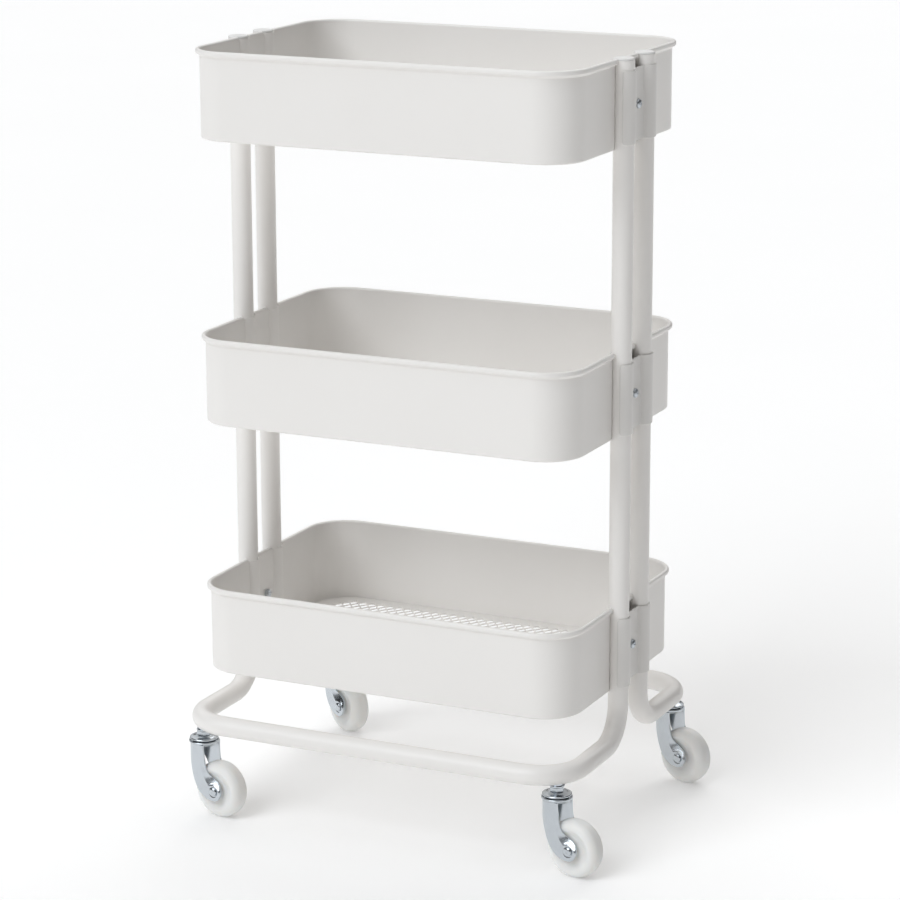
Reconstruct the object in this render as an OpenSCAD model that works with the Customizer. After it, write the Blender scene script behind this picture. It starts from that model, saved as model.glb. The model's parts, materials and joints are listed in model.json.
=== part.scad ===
// Three-tier rolling pantry cart. Two bent-tube leg frames stand back to back, and three
// sheet-steel trays with expanded-metal floors are clamped to them between grooved end
// walls and folded clamp plates. Four swivel casters screw into the leg frames' corners.
// Millimetres. The origin is on the floor, midway between the four caster stems; +X runs
// along the trays' long side, -Y faces the front and +Z is up.

/* [Overall] */
// Height of the upper rim and of the leg caps above the floor
cart_h = 780; // [760:5:820]

/* [Trays] */
// Outside length of a tray's wall
tray_l = 406; // [404:1:408]
// Outside width of a tray's wall
tray_w = 287; // [270:1:300]
// Height of a tray from its underside to its rim
tray_h = 88; // [80:1:95]
// Outside radius of a tray's corners
corner_r = 40; // [34:1:50]
// Thickness of the trays' sheet steel
sheet_t = 1; // [0.8:0.1:1.2]
// Diameter of the rolled rim
rim_d = 5.6; // [5:0.2:6.4]
// Width of the inward flange under a tray's floor
flange_w = 14; // [12:1:18]
// Rim height of the top tray above the floor
top_rim_z = 778.8; // [760:0.1:820]
// Rim height of the middle tray above the floor
middle_rim_z = 494.5; // [440:0.5:560]
// Rim height of the bottom tray above the floor
bottom_rim_z = 237.5; // [230:0.5:260]

/* [Expanded-metal floors] */
// Thickness of the floor sheet
mesh_t = 1.2; // [1:0.1:1.5]
// Distance between diamond openings along the tray
mesh_pitch = 21.2; // [20:0.2:26]
// Distance between rows of diamond openings
mesh_row = 9.2; // [9:0.2:12]
// Width of the strands between openings
strand_w = 3.4; // [3:0.1:4]
// Plain border around the openings, measured from the tray's wall
mesh_border = 17; // [16:1:24]

/* [Leg frames] */
// Outside diameter of the tube
tube_d = 20.5; // [20:0.5:21]
// Wall thickness of the tube
tube_t = 1.2; // [1:0.1:1.5]
// Distance along X between the left and right legs' centres
leg_span = 417; // [415:1:419]
// Distance along Y between the front and rear legs' centres
leg_gap = 51; // [50:1:53]
// Distance along Y between the centres of the front and rear floor rails
base_w = 320; // [310:1:330]
// Height of the floor rails' centre above the floor
base_z = 99; // [98:0.5:105]
// Centreline radius of the bend from leg to base
drop_r = 36; // [34:1:40]
// Centreline radius of the base's corners
base_corner_r = 43; // [40:1:46]

/* [Clamps] */
// Height of a clamp plate
clamp_h = 70.5; // [60:0.5:76]
// Distance from a tray's rim down to its clamp plate
clamp_drop = 11.5; // [10:0.5:16]
// Thickness of a clamp plate
clamp_t = 1.5; // [1.2:0.1:2]
// Radial clearance between a leg and the groove or clamp around it
leg_clearance = 0.08; // [0.05:0.01:0.1]
// Diameter of the clamp screws
screw_d = 5; // [4:0.5:6]

/* [Casters] */
// Diameter of a wheel
wheel_d = 58; // [54:1:60]
// Width of a wheel's tread
wheel_w = 21; // [18:1:22]
// Distance from a caster's swivel axis back to its wheel's axis
trail = 22.5; // [20:0.5:24]
// Direction in which the front left wheel trails
front_left_turn = -12; // [-180:1:180]
// Direction in which the front right wheel trails
front_right_turn = -12; // [-180:1:180]
// Direction in which the rear right wheel trails
rear_right_turn = -18; // [-180:1:180]
// Direction in which the rear left wheel trails
rear_left_turn = -30; // [-180:1:180]

/* [Hidden] */
$fn = 48;
tiny = 0.02;
through = 1;

white = [0.91, 0.91, 0.89];
nylon = [0.93, 0.93, 0.91];
zinc = [0.72, 0.75, 0.78];
dark_steel = [0.35, 0.36, 0.38];

leg_x = leg_span / 2;
leg_y = leg_gap / 2;
tube_r = tube_d / 2;
bore_r = tube_r - tube_t;
cap_h = 3.2;
cap_plug_l = 14;
leg_top = cart_h - cap_h;
rail_y = base_w / 2;
corner_x = leg_x - base_corner_r;
corner_y = rail_y - base_corner_r;
stem_x = corner_x + base_corner_r * cos(45);
stem_y = corner_y + base_corner_r * sin(45);

tray_half_l = tray_l / 2;
tray_half_w = tray_w / 2;
groove_r = tube_r + leg_clearance;
shell_r = groove_r + sheet_t;
notch_drop = 2.6;
notch_half = shell_r + 0.5;

clamp_in_x = tray_half_l + 8;
clamp_out_x = clamp_in_x + clamp_t;
screw_r = screw_d / 2;
screw_hole_r = screw_r + 0.15;
screw_head_r = 4.6;
screw_head_h = 3.4;
nut_across_flats = 8;
nut_h = 4;
screw_tip_x = tray_half_l - sheet_t - nut_h - 0.5;

mesh_half_l = leg_x - shell_r - 0.2;
mesh_half_w = tray_half_w - sheet_t - 0.3;
mesh_corner_r = corner_r - sheet_t - 0.3;

// Heights and radii in a caster, from the rail down
insert_r = 6;
insert_top = base_z + 2;
rail_bottom = base_z - tube_r;
insert_flange_z = rail_bottom - 1.3;
thread_r = 4;
pin_r = 3.9;
hex_across_flats = 13;
hex_bottom = 82.6;
disc_r = 14.7;
disc_rim_z = 78.9;
ball_r = 1.6;
ball_circle_r = 10.4;
ball_count = 12;
crown_top = 75.6;
crown_t = 2.2;
crown_lip_r = 15.5;
crown_lip_top = 77.6;
ball_z = crown_top + ball_r + tiny;
rivet_r = 6;
rivet_h = 2;
fork_r = 14.2;
fork_t = 1.8;
fork_back = 9.5;
fork_hub_r = 10;
axle_r = 3.05;
axle_z = wheel_d / 2;
axle_head_r = 4.6;
axle_head_h = 2;
wheel_bore_r = axle_r + 0.07;
hub_half_w = fork_r - fork_t - 0.2;

// Each caster: name, side along X, side along Y, and the direction it trails
casters = [
    ["front_left", -1, -1, front_left_turn],
    ["front_right", 1, -1, front_right_turn],
    ["rear_right", 1, 1, rear_right_turn],
    ["rear_left", -1, 1, rear_left_turn],
];
caster_parts = ["stem", "race", "balls", "fork", "axle", "wheel"];

// Each tray: name and the height of its rim
trays = [["top", top_rim_z], ["middle", middle_rim_z], ["bottom", bottom_rim_z]];

// Each leg: name, side along X and side along Y
legs = [
    ["front_left", -1, -1],
    ["front_right", 1, -1],
    ["rear_right", 1, 1],
    ["rear_left", -1, 1],
];

// ---- Leg frames ----

// A solid rod of radius r along the front frame's centreline: down one leg, out to the
// front, round the corner, along the rail and back up the other leg
module leg_rod(r, above = 0) {
    for (side = [0, 1]) mirror([side, 0, 0]) {
        translate([leg_x, -leg_y, base_z + drop_r]) cylinder(r = r, h = leg_top - base_z - drop_r + above);
        translate([leg_x, -leg_y - drop_r, base_z + drop_r]) rotate([0, 90, 0])
            rotate_extrude(angle = 90) translate([drop_r, 0]) circle(r);
        translate([leg_x, -corner_y, base_z]) rotate([-90, 0, 0])
            cylinder(r = r, h = corner_y - leg_y - drop_r);
        translate([corner_x, -corner_y, base_z]) rotate(-90)
            rotate_extrude(angle = 90) translate([base_corner_r, 0]) circle(r);
    }
    translate([-corner_x, -rail_y, base_z]) rotate([0, 90, 0]) cylinder(r = r, h = 2 * corner_x);
}

module leg_frame() {
    color(white) difference() {
        leg_rod(tube_r);
        leg_rod(bore_r, through);
        for (side = [-1, 1]) translate([side * stem_x, -stem_y, rail_bottom - through])
            cylinder(r = insert_r + tiny, h = tube_r);
    }
}

module front_leg_frame() { leg_frame(); }

module rear_leg_frame() { rotate(180) leg_frame(); }

// Threaded sleeves set into the underside of the rails, one for each caster
module caster_inserts() {
    color(zinc) for (c = casters) translate([c[1] * stem_x, c[2] * stem_y, 0]) difference() {
        union() {
            translate([0, 0, insert_flange_z]) cylinder(r = insert_r, h = insert_top - insert_flange_z);
            translate([0, 0, insert_flange_z]) cylinder(r = insert_r + 1.5, h = 1.2);
        }
        translate([0, 0, insert_flange_z - through])
            cylinder(r = thread_r, h = insert_top - insert_flange_z + 2 * through);
    }
}

// Moulded plug with a low domed top that closes a leg
module leg_cap(side_x, side_y) {
    dome_h = 1;
    dome_r = (tube_r * tube_r + dome_h * dome_h) / (2 * dome_h);
    color(white) translate([side_x * leg_x, side_y * leg_y, 0]) difference() {
        union() {
            intersection() {
                translate([0, 0, leg_top]) cylinder(r = tube_r, h = cap_h);
                translate([0, 0, cart_h - dome_r]) sphere(dome_r, $fn = 160);
            }
            translate([0, 0, leg_top - cap_plug_l]) cylinder(r = bore_r - tiny, h = cap_plug_l);
        }
        translate([0, 0, leg_top - cap_plug_l - through])
            cylinder(r = bore_r - 2, h = cap_plug_l + through);
    }
}

// ---- Trays ----

// Carries a profile around the tray. Its x = 0 is the wall's outer face, and x < 0 is inside.
module around_tray() {
    for (c = [[1, 1, 0], [-1, 1, 90], [-1, -1, 180], [1, -1, 270]])
        translate([c[0] * (tray_half_l - corner_r), c[1] * (tray_half_w - corner_r), 0])
            rotate(c[2]) rotate_extrude(angle = 90) translate([corner_r, 0]) children();
    for (side = [[tray_half_l, tray_half_w, 0], [tray_half_w, tray_half_l, 90]], back = [0, 180])
        rotate(side[2] + back) translate([side[0], side[1] - corner_r, 0]) rotate([90, 0, 0])
            linear_extrude(2 * (side[1] - corner_r)) children();
}

// Section of a tray: inward flange, upright wall and hollow rolled rim
module tray_profile(rim_z) {
    floor_z = rim_z - tray_h;
    roll_x = rim_d / 2 - sheet_t + 0.15;
    translate([-sheet_t, floor_z]) square([sheet_t, tray_h - rim_d / 2]);
    translate([-flange_w, floor_z]) square([flange_w - sheet_t / 2, sheet_t]);
    translate([roll_x, rim_z - rim_d / 2]) difference() {
        circle(d = rim_d);
        circle(d = rim_d - 2 * sheet_t);
    }
}

module at_each_leg() {
    for (leg = legs) translate([leg[1] * leg_x, leg[2] * leg_y, 0]) children();
}

// The tray's end walls are pressed in around the legs, and its rim is cut away beside them
module tray(rim_z) {
    floor_z = rim_z - tray_h;
    shell_h = tray_h - notch_drop;
    color(white) difference() {
        union() {
            around_tray() tray_profile(rim_z);
            intersection() {
                at_each_leg() translate([0, 0, floor_z]) cylinder(r = shell_r, h = shell_h);
                translate([-tray_half_l, -tray_half_w, floor_z]) cube([tray_l, tray_w, shell_h]);
            }
        }
        at_each_leg() {
            translate([0, 0, floor_z - through]) cylinder(r = groove_r, h = tray_h + 2 * through);
            translate([-leg_x / 8, -notch_half, rim_z - notch_drop])
                cube([leg_x / 4, 2 * notch_half, notch_drop + through]);
        }
        for (side = [-1, 1], leg_side = [-1, 1])
            translate([side * (tray_half_l + rim_d / 2 + tiny), leg_side * leg_y, rim_z - rim_d / 2])
                cube([rim_d, 2 * notch_half, rim_d + 2 * through], center = true);
        for (side = [0, 180]) rotate(side) clamp_screw_hole(rim_z, tray_half_l - sheet_t);
    }
}

// Plain sheet outline of a tray's floor, as plates and corner discs
module floor_sheet(half_l, half_w, r, h) {
    translate([-half_l, -(half_w - r), 0]) cube([2 * half_l, 2 * (half_w - r), h]);
    translate([-(half_l - r), -half_w, 0]) cube([2 * (half_l - r), 2 * half_w, h]);
    for (x = [-1, 1], y = [-1, 1]) translate([x * (half_l - r), y * (half_w - r), 0]) cylinder(r = r, h = h);
}

// True where a whole diamond centred at x, y keeps clear of the plain border
function diamond_fits(x, y) =
    let (
        open_l = tray_half_l - mesh_border - mesh_pitch / 2,
        open_w = tray_half_w - mesh_border - mesh_row / 2,
        dx = max(0, abs(x) - (open_l - corner_r / 2)),
        dy = max(0, abs(y) - (open_w - corner_r / 2))
    ) norm([dx, dy]) <= corner_r / 2;

// Expanded metal: rows of diamond openings, each row set over by half a pitch. A bond
// between two openings lies at the tray's centre.
module tray_floor(rim_z) {
    bottom_z = rim_z - tray_h + sheet_t;
    open_x = mesh_pitch / 2 - strand_w * 0.9;
    open_y = mesh_row - strand_w * 0.75;
    columns = ceil(tray_l / mesh_pitch / 2);
    rows = ceil(tray_w / mesh_row / 2);
    color(white) translate([0, 0, bottom_z]) difference() {
        floor_sheet(mesh_half_l, mesh_half_w, mesh_corner_r, mesh_t);
        translate([0, 0, -through]) linear_extrude(mesh_t + 2 * through)
            for (row = [-rows:rows], column = [-columns:columns]) {
                x = (column + 0.5 + (row % 2 == 0 ? 0 : 0.5)) * mesh_pitch;
                y = row * mesh_row;
                if (diamond_fits(x, y)) translate([x, y])
                    polygon([[open_x, 0], [0, open_y], [-open_x, 0], [0, -open_y]]);
            }
    }
}

// ---- Clamps ----

function clamp_mid_z(rim_z) = rim_z - clamp_drop - clamp_h / 2;

module clamp_screw_hole(rim_z, from_x) {
    translate([from_x - through, 0, clamp_mid_z(rim_z)]) rotate([0, 90, 0])
        cylinder(r = screw_hole_r, h = sheet_t + 2 * through + clamp_t);
}

// Plate folded around the outer half of two legs, with a flat between them for the screw
module clamp(rim_z) {
    wrap_r = groove_r + clamp_t;
    color(white) difference() {
        translate([0, 0, rim_z - clamp_drop - clamp_h]) linear_extrude(clamp_h) difference() {
            intersection() {
                union() {
                    for (side = [-1, 1]) translate([leg_x, side * leg_y]) circle(wrap_r);
                    translate([clamp_in_x, -leg_y]) square([clamp_t, leg_gap]);
                }
                translate([clamp_in_x, -leg_gap]) square([wrap_r, 2 * leg_gap]);
            }
            for (side = [-1, 1]) translate([leg_x, side * leg_y]) circle(groove_r);
        }
        clamp_screw_hole(rim_z, clamp_in_x);
    }
}

module left_clamp(rim_z) { rotate(180) clamp(rim_z); }

module right_clamp(rim_z) { clamp(rim_z); }

// Pan-head screw with a cross recess, head outwards, through the clamp and the tray's end
module clamp_screw(rim_z) {
    recess_w = 1.1;
    recess_l = 5;
    recess_depth = 2;
    translate([0, 0, clamp_mid_z(rim_z)]) rotate([0, 90, 0]) difference() {
        union() {
            translate([0, 0, screw_tip_x]) cylinder(r = screw_r, h = clamp_out_x - screw_tip_x + tiny);
            translate([0, 0, clamp_out_x]) cylinder(r = screw_head_r, h = screw_head_h * 0.6);
            translate([0, 0, clamp_out_x + screw_head_h * 0.6])
                cylinder(r1 = screw_head_r, r2 = screw_head_r * 0.7, h = screw_head_h * 0.4);
        }
        for (turn = [0, 90]) rotate(turn)
            translate([-recess_l / 2, -recess_w / 2, clamp_out_x + screw_head_h - recess_depth])
                cube([recess_l, recess_w, recess_depth + through]);
    }
}

module clamp_screws(rim_z) {
    color(zinc) for (side = [0, 180]) rotate(side) clamp_screw(rim_z);
}

module clamp_nuts(rim_z) {
    hex_r = nut_across_flats / 2 / cos(30);
    color(zinc) for (side = [0, 180]) rotate(side)
        translate([tray_half_l - sheet_t - nut_h, 0, clamp_mid_z(rim_z)]) rotate([0, 90, 0]) difference() {
            cylinder(r = hex_r, h = nut_h, $fn = 6);
            translate([0, 0, -through]) cylinder(r = screw_r + tiny, h = nut_h + 2 * through);
        }
}

// ---- Casters, each drawn at the origin and trailing along +X ----

// Threaded stem, hexagon and king pin in one turned piece, riveted over below the fork
module caster_stem() {
    hex_r = hex_across_flats / 2 / cos(30);
    rivet_z = crown_top - crown_t - tiny - rivet_h;
    color(zinc) {
        translate([0, 0, hex_bottom]) cylinder(r = thread_r - tiny, h = insert_top - hex_bottom - 1);
        translate([0, 0, hex_bottom]) cylinder(r = hex_r, h = insert_flange_z - hex_bottom - tiny, $fn = 6);
        translate([0, 0, rivet_z]) cylinder(r = pin_r, h = hex_bottom - rivet_z + 1);
        translate([0, 0, rivet_z]) cylinder(r = rivet_r, h = rivet_h);
    }
}

// Domed upper race with a rolled edge
module caster_race() {
    bore = pin_r + 0.05;
    top = hex_bottom - tiny;
    color(zinc) rotate_extrude() polygon([
        [bore, ball_z + ball_r + tiny], [disc_r - 2, ball_z + ball_r + tiny],
        [disc_r - 0.9, disc_rim_z - 0.9], [disc_r, disc_rim_z - 0.5],
        [disc_r, disc_rim_z + 0.9], [disc_r - 1, disc_rim_z + 1.8],
        [7.8, top], [bore, top],
    ]);
}

module caster_balls() {
    color(dark_steel) for (i = [0:ball_count - 1]) rotate(i * 360 / ball_count)
        translate([ball_circle_r, 0, ball_z]) sphere(ball_r, $fn = 32);
}

// Side view of the fork: a crown block, an arm that leans back, and a round hub
module fork_side() {
    arm_top = 66;
    union() {
        translate([-fork_r - through, arm_top]) square([fork_r + through + fork_back, crown_top - arm_top]);
        polygon([
            [-fork_r - through, arm_top], [-fork_r, arm_top - 1], [-8.6, 54], [-4.7, 43.5], [-1.4, 35],
            [3, 28], [8.5, 22.3], [15.4, 19], [trail, axle_z], [trail + 4, axle_z + 9.2],
            [17.5, 44], [12.2, 50], [fork_back, 58], [fork_back, arm_top],
        ]);
        translate([trail, axle_z]) circle(fork_hub_r);
    }
}

// Pressed fork: closed at the front, open at the back, with a crown that holds the balls
module caster_fork() {
    inner_r = fork_r - fork_t;
    crown_bottom = crown_top - crown_t;
    color(zinc) difference() {
        union() {
            intersection() {
                difference() {
                    union() {
                        cylinder(r = fork_r, h = crown_top);
                        translate([0, -fork_r, 0]) cube([2 * wheel_d, 2 * fork_r, crown_top]);
                    }
                    translate([0, 0, -through]) cylinder(r = inner_r, h = crown_bottom + through);
                    translate([0, -inner_r, -through])
                        cube([3 * wheel_d, 2 * inner_r, crown_bottom + through]);
                }
                rotate([90, 0, 0]) translate([0, 0, -2 * fork_r]) linear_extrude(4 * fork_r) fork_side();
            }
            translate([0, 0, crown_bottom]) cylinder(r = crown_lip_r, h = crown_lip_top - crown_bottom);
        }
        translate([0, 0, crown_top]) cylinder(r = crown_lip_r - 1.8, h = crown_t + through);
        cylinder(r = pin_r + 0.06, h = crown_lip_top + through);
        translate([trail, 2 * fork_r, axle_z]) rotate([90, 0, 0])
            cylinder(r = axle_r + tiny, h = 4 * fork_r);
    }
}

// Rivet through both arms of the fork, with a domed head on each side
module caster_axle() {
    color(zinc) translate([trail, 0, axle_z]) rotate([90, 0, 0]) rotate_extrude() polygon([
        [0, -fork_r - axle_head_h], [axle_head_r * 0.6, -fork_r - axle_head_h],
        [axle_head_r, -fork_r - axle_head_h * 0.4], [axle_head_r, -fork_r - tiny],
        [axle_r, -fork_r - tiny], [axle_r, fork_r + tiny],
        [axle_head_r, fork_r + tiny], [axle_head_r, fork_r + axle_head_h * 0.4],
        [axle_head_r * 0.6, fork_r + axle_head_h], [0, fork_r + axle_head_h],
    ]);
}

// Moulded wheel: round-shouldered tread, dished sides and a wide hub
module caster_wheel() {
    r = wheel_d / 2;
    half_w = wheel_w / 2;
    shoulder = 6;
    rim_in = r - 8;
    web_half_w = 7;
    hub_r = 8;
    color(nylon) translate([trail, 0, axle_z]) rotate([90, 0, 0]) rotate_extrude() difference() {
        union() {
            translate([wheel_bore_r, -hub_half_w]) square([hub_r - wheel_bore_r, 2 * hub_half_w]);
            translate([wheel_bore_r, -web_half_w]) square([r - 3 - wheel_bore_r, 2 * web_half_w]);
            translate([rim_in, -half_w]) square([r - shoulder - rim_in, wheel_w]);
            translate([r - shoulder, -(half_w - shoulder)]) square([shoulder, wheel_w - 2 * shoulder]);
            for (side = [-1, 1]) intersection() {
                translate([r - shoulder, side * (half_w - shoulder)]) circle(shoulder);
                translate([r - shoulder - tiny, side > 0 ? 0 : -half_w]) square([shoulder + through, half_w]);
            }
        }
    }
}

module place_caster(c) {
    translate([c[1] * stem_x, c[2] * stem_y, 0]) rotate(c[3]) children();
}

module caster_part(c, part) {
    place_caster(c) {
        if (part == "stem") caster_stem();
        if (part == "race") caster_race();
        if (part == "balls") caster_balls();
        if (part == "fork") caster_fork();
        if (part == "axle") caster_axle();
        if (part == "wheel") caster_wheel();
    }
}

// ---- Assembly ----

front_leg_frame();
rear_leg_frame();
caster_inserts();
for (leg = legs) leg_cap(leg[1], leg[2]);
for (t = trays) {
    tray(t[1]);
    tray_floor(t[1]);
    left_clamp(t[1]);
    right_clamp(t[1]);
    clamp_screws(t[1]);
    clamp_nuts(t[1]);
}
for (c = casters, part = caster_parts)
    caster_part(c, part);
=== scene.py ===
"""Looks of a rolling pantry cart: powder-coated trays and legs, zinc-plated casters, nylon wheels.

Every piece stands for a CAD node and takes its place from it. Shapes are worked out in
millimetres, with the floor at z = 0 and the front at -Y, and add_piece() turns them into metres.
"""

import json
import math

import bmesh
import bpy
import numpy as np
from mathutils import Matrix, Vector


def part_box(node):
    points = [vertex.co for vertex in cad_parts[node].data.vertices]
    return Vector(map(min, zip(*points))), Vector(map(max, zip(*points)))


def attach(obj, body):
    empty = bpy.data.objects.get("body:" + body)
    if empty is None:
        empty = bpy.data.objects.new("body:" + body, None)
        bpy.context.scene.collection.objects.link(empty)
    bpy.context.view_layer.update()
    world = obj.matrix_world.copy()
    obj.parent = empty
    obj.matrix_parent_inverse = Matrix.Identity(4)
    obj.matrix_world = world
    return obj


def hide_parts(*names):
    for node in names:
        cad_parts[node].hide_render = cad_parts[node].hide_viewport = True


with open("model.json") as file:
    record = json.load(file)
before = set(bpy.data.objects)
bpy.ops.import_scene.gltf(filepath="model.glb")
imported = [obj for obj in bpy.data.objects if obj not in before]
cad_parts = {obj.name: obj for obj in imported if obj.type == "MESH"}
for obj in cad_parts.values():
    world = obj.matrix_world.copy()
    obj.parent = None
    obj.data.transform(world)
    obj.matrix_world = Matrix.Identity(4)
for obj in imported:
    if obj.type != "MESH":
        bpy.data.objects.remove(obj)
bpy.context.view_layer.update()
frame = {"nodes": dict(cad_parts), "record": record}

MM = 0.001
CORNERS = ["front_left", "front_right", "rear_right", "rear_left"]
TRAYS = ["top", "middle", "bottom"]
RECORD = frame["record"]
BODY_OF = {node: body for body, nodes in RECORD["behaviour"]["bodies"].items() for node in nodes}
SLOT_OF = {part["node"]: part["material_slot"] for part in RECORD["subparts"]}
JOINTS = {joint["name"]: joint for joint in RECORD["behaviour"]["joints"]}

# Sheet steel of the trays, in millimetres as all sizes below
SHEET_T = 1.0
BEND_R = 2.0
CORNER_R = 40.0
FLANGE_W = 14.0
CAD_RIM_REACH = 4.75
RIM_REACH = 3.9
RIM_DROP = 7.8
RIM_GAP_HALF = 11.83
NOTCH_DROP = 2.6
GROOVE_CLEARANCE = 0.08
GROOVE_FILLET = 2.2

# Expanded-metal floors
MESH_T = 1.2
MESH_PITCH = 10.8
MESH_ROW = 7.2
STRAND_W = 1.5
MESH_BORDER = 17.0
MESH_CLEARANCE = 0.3

# Leg frames
DROP_R = 36.0
BASE_CORNER_R = 43.0
TUBE_T = 1.2

# Clamps
CLAMP_T = 1.5
CLAMP_FILLET = 2.0
CLAMP_CORNER_R = 3.0

# Clamp screws and nuts
SCREW_HEAD_R = 4.6
SCREW_R = 2.5
SCREW_BRIM = 0.9
SCREW_REACH_IN = 4.5
NUT_FLATS = 8.0
NUT_H = 4.0
NUT_CHAMFER = 0.45

# Casters. Heights are above the floor
CROWN_TOP = 75.6
CROWN_T = 2.2
CROWN_LIP_R = 15.5
CROWN_LIP_TOP = 77.6
DISC_BOTTOM = 78.86
DISC_R = 14.7
DISC_DOME_TOP = 82.58
HEX_BOTTOM = 82.6
HEX_FLATS = 13.0
THREAD_TOP = 100
THREAD_R = 3.98
THREAD_CORE_R = 3.4
THREAD_PITCH = 1.25
PIN_R = 3.9
PIN_BOTTOM = 71.3
PIN_HEAD_R = 6
FORK_R = 14.2
FORK_T = 1.8
FORK_BACK = 9.5
FORK_HUB_R = 10.0
AXLE_R = 3.05
AXLE_HEAD_R = 4.6
AXLE_HEAD_H = 2.0
WHEEL_HALF_W = 10.5
WHEEL_SHOULDER_R = 8.0
WHEEL_HUB_R = 6.4


def box_mm(node):
    """Lowest and highest corner of a CAD node, in millimetres."""
    low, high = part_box(node)
    return low / MM, high / MM


def angles(start, stop, steps):
    """Angles from one to another in equal steps, given in degrees and returned in radians."""
    return [math.radians(start + (stop - start) * k / steps) for k in range(steps + 1)]


cap_low, cap_high = box_mm("front_right_leg_cap")
TUBE_R = (cap_high[0] - cap_low[0]) / 2
LEG_X = (cap_high[0] + cap_low[0]) / 2
LEG_Y = -(cap_high[1] + cap_low[1]) / 2
CART_H = cap_high[2]
leg_low, leg_high = box_mm("front_leg_frame")
LEG_TOP = leg_high[2]
BASE_Z = leg_low[2] + TUBE_R
RAIL_Y = -leg_low[1] - TUBE_R
tray_low, tray_high = box_mm("top_tray")
TRAY_HALF_L = tray_high[0] - CAD_RIM_REACH
TRAY_HALF_W = tray_high[1] - CAD_RIM_REACH
TRAY_H = tray_high[2] - tray_low[2]
GROOVE_R = TUBE_R + GROOVE_CLEARANCE
CLAMP_INNER_X = box_mm("top_right_clamp")[0][0]


# ---- Mesh helpers ----


def arc(centre, radius, start, stop, steps):
    """Points along a circle from one angle to another, in degrees, both ends included."""
    return [
        (centre[0] + radius * math.cos(a), centre[1] + radius * math.sin(a))
        for a in angles(start, stop, steps)
    ]


def loft(sections, ring=True, loop=False, caps=False):
    """Quads between successive sections of equally many points. ring closes each section,
    loop joins the last section to the first, and caps fills the two ends."""
    count = len(sections[0])
    verts = [point for section in sections for point in section]
    faces = []
    for i in range(len(sections) if loop else len(sections) - 1):
        j = (i + 1) % len(sections)
        for k in range(count if ring else count - 1):
            m = (k + 1) % count
            faces.append((i * count + k, i * count + m, j * count + m, j * count + k))
    if caps:
        last = (len(sections) - 1) * count
        faces.append(tuple(reversed(range(count))))
        faces.append(tuple(range(last, last + count)))
    return verts, faces


def lathe(profile, steps=64, axis="z"):
    """A closed profile of (radius, height) turned about an axis through the origin."""
    sections = []
    for i in range(steps):
        c, s = math.cos(2 * math.pi * i / steps), math.sin(2 * math.pi * i / steps)
        if axis == "z":
            sections.append([(r * c, r * s, h) for r, h in profile])
        elif axis == "y":
            sections.append([(r * s, h, r * c) for r, h in profile])
        else:
            sections.append([(h, r * c, r * s) for r, h in profile])
    return loft(sections, loop=True)


def moved(shape, offset):
    verts, faces = shape
    return [tuple(np.add(v, offset)) for v in verts], faces


def thick_sheet(outer, inner, faces):
    """A closed solid between two skins with the same faces."""
    count = len(outer)
    used = [(a, b) for face in faces for a, b in zip(face, face[1:] + face[:1])]
    both_ways = set(used)
    edges = [(a, b) for a, b in used if (b, a) not in both_ways]
    solid = list(faces) + [tuple(count + v for v in reversed(face)) for face in faces]
    solid += [(b, a, count + a, count + b) for a, b in edges]
    return list(outer) + list(inner), solid


def add_piece(name, node, shapes, material, bevel=0.0, sharp=35.0, place=None):
    """One object made of closed shapes, on its CAD node's body and standing for that node."""
    bm = bmesh.new()
    for verts, faces in shapes:
        made = [bm.verts.new(Vector(v) * MM) for v in verts]
        for face in faces:
            bm.faces.new([made[i] for i in face])
    bmesh.ops.remove_doubles(bm, verts=bm.verts, dist=0.001 * MM)
    bmesh.ops.recalc_face_normals(bm, faces=bm.faces)
    if bevel:
        limit = math.radians(sharp)
        edges = [e for e in bm.edges if e.is_manifold and e.calc_face_angle(0) > limit]
        bmesh.ops.bevel(
            bm, geom=edges, offset=bevel * MM, segments=2, profile=0.5, affect="EDGES", clamp_overlap=True
        )
    mesh = bpy.data.meshes.new(name)
    bm.to_mesh(mesh)
    bm.free()
    mesh.shade_smooth()
    mesh.set_sharp_from_angle(angle=math.radians(sharp))
    mesh.materials.append(material)
    piece = bpy.data.objects.new(name, mesh)
    bpy.context.scene.collection.objects.link(piece)
    if place is not None:
        piece.matrix_world = place
    weighted = piece.modifiers.new("even_shading", "WEIGHTED_NORMAL")
    weighted.keep_sharp = True
    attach(piece, BODY_OF[node])
    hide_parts(node)
    return piece


# ---- Materials ----


def noise(tree, scale, detail=2.0, stretch=(1.0, 1.0, 1.0)):
    """A noise texture in the piece's own coordinates, in features per metre."""
    coords = tree.nodes.new("ShaderNodeTexCoord")
    mapping = tree.nodes.new("ShaderNodeMapping")
    mapping.inputs["Scale"].default_value = stretch
    texture = tree.nodes.new("ShaderNodeTexNoise")
    texture.inputs["Scale"].default_value = scale
    texture.inputs["Detail"].default_value = detail
    tree.links.new(coords.outputs["Object"], mapping.inputs["Vector"])
    tree.links.new(mapping.outputs["Vector"], texture.inputs["Vector"])
    return texture.outputs["Fac"]


def to_range(tree, value, low, high):
    ranged = tree.nodes.new("ShaderNodeMapRange")
    ranged.inputs["To Min"].default_value = low
    ranged.inputs["To Max"].default_value = high
    tree.links.new(value, ranged.inputs["Value"])
    return ranged.outputs["Result"]


def blend_colours(tree, value, first, second):
    mix = tree.nodes.new("ShaderNodeMix")
    mix.data_type = "RGBA"
    mix.inputs["A"].default_value = (*first, 1)
    mix.inputs["B"].default_value = (*second, 1)
    tree.links.new(value, mix.inputs["Factor"])
    return mix.outputs["Result"]


def add_bump(tree, shader, height, strength, distance):
    bump = tree.nodes.new("ShaderNodeBump")
    bump.inputs["Strength"].default_value = strength
    bump.inputs["Distance"].default_value = distance * MM
    tree.links.new(height, bump.inputs["Height"])
    tree.links.new(bump.outputs["Normal"], shader.inputs["Normal"])


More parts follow.
